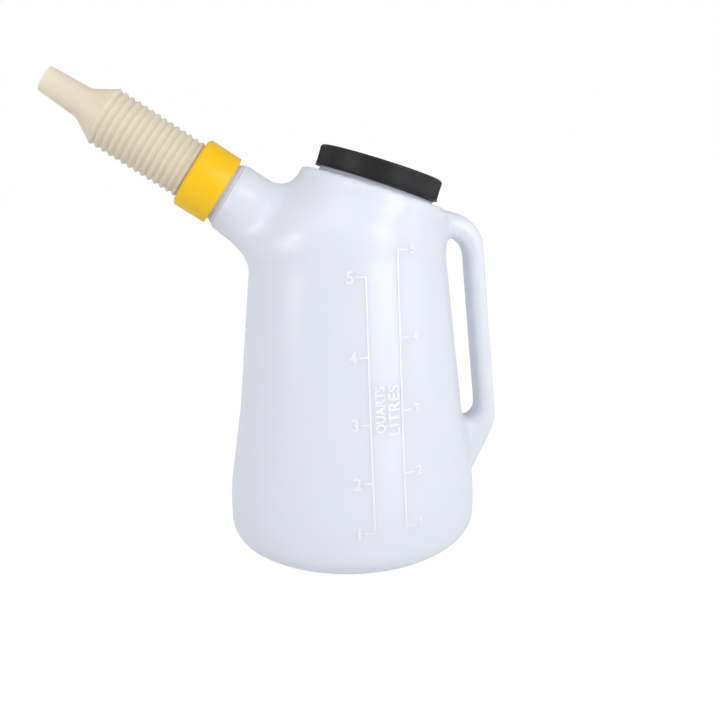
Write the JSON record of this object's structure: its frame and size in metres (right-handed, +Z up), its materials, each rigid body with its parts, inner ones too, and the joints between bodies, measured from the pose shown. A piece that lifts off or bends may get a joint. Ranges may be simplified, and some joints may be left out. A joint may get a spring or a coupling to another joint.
{
  "type": "oil measuring jug",
  "caption": "Tall oval measuring jug for oil, with a hollow handle, a slanted mouth under a ribbed screw lid, and a corrugated pouring spout held by a ring nut.",
  "frame": {"origin": "on the ground, at the centre of the jug's oval foot", "axes": "+Z up, +X towards the handle, -X towards the pouring spout, XZ the plane of symmetry"},
  "size_m": [0.3329, 0.1838, 0.366],
  "materials": {
    "natural_polyethylene": "milky translucent, smooth with a soft sheen",
    "black_plastic": "satin black, finely ribbed skirt",
    "seal_foam": "soft closed foam",
    "yellow_plastic": "smooth satin",
    "spout_plastic": "greyish translucent, flexible"
  },
  "bodies": {
    "jug": {"jug_body": "natural_polyethylene"},
    "lid_seal": {"lid_liner": "seal_foam"},
    "lid": {"mouth_lid": "black_plastic"},
    "pouring_spout": {"flexible_spout": "spout_plastic"},
    "collar": {"spout_collar": "yellow_plastic"}
  },
  "joints": [
    {"name": "lid_lift", "type": "slide", "parent": "jug", "child": "lid_seal", "axis": [0.3115, 0, 0.9502], "range_m": [0, 0.012]},
    {"name": "lid_turn", "type": "hinge", "parent": "lid_seal", "child": "lid", "pos_m": [0.02356, 0, 0.28565], "axis": [0.3115, 0, 0.9502], "range_deg": [0, 720]},
    {"name": "spout_draw", "type": "slide", "parent": "jug", "child": "pouring_spout", "axis": [-0.8281, 0, 0.5606], "range_m": [0, 0.0195]},
    {"name": "collar_turn", "type": "hinge", "parent": "pouring_spout", "child": "collar", "pos_m": [-0.10102, 0, 0.28521], "axis": [-0.8281, 0, 0.5606], "range_deg": [0, 1170]}
  ],
  "couplings": [
    {"joint": "lid_lift", "follows": "lid_turn", "m_per_rad": 0.00095493},
    {"joint": "spout_draw", "follows": "collar_turn", "m_per_rad": 0.00095493}
  ]
}
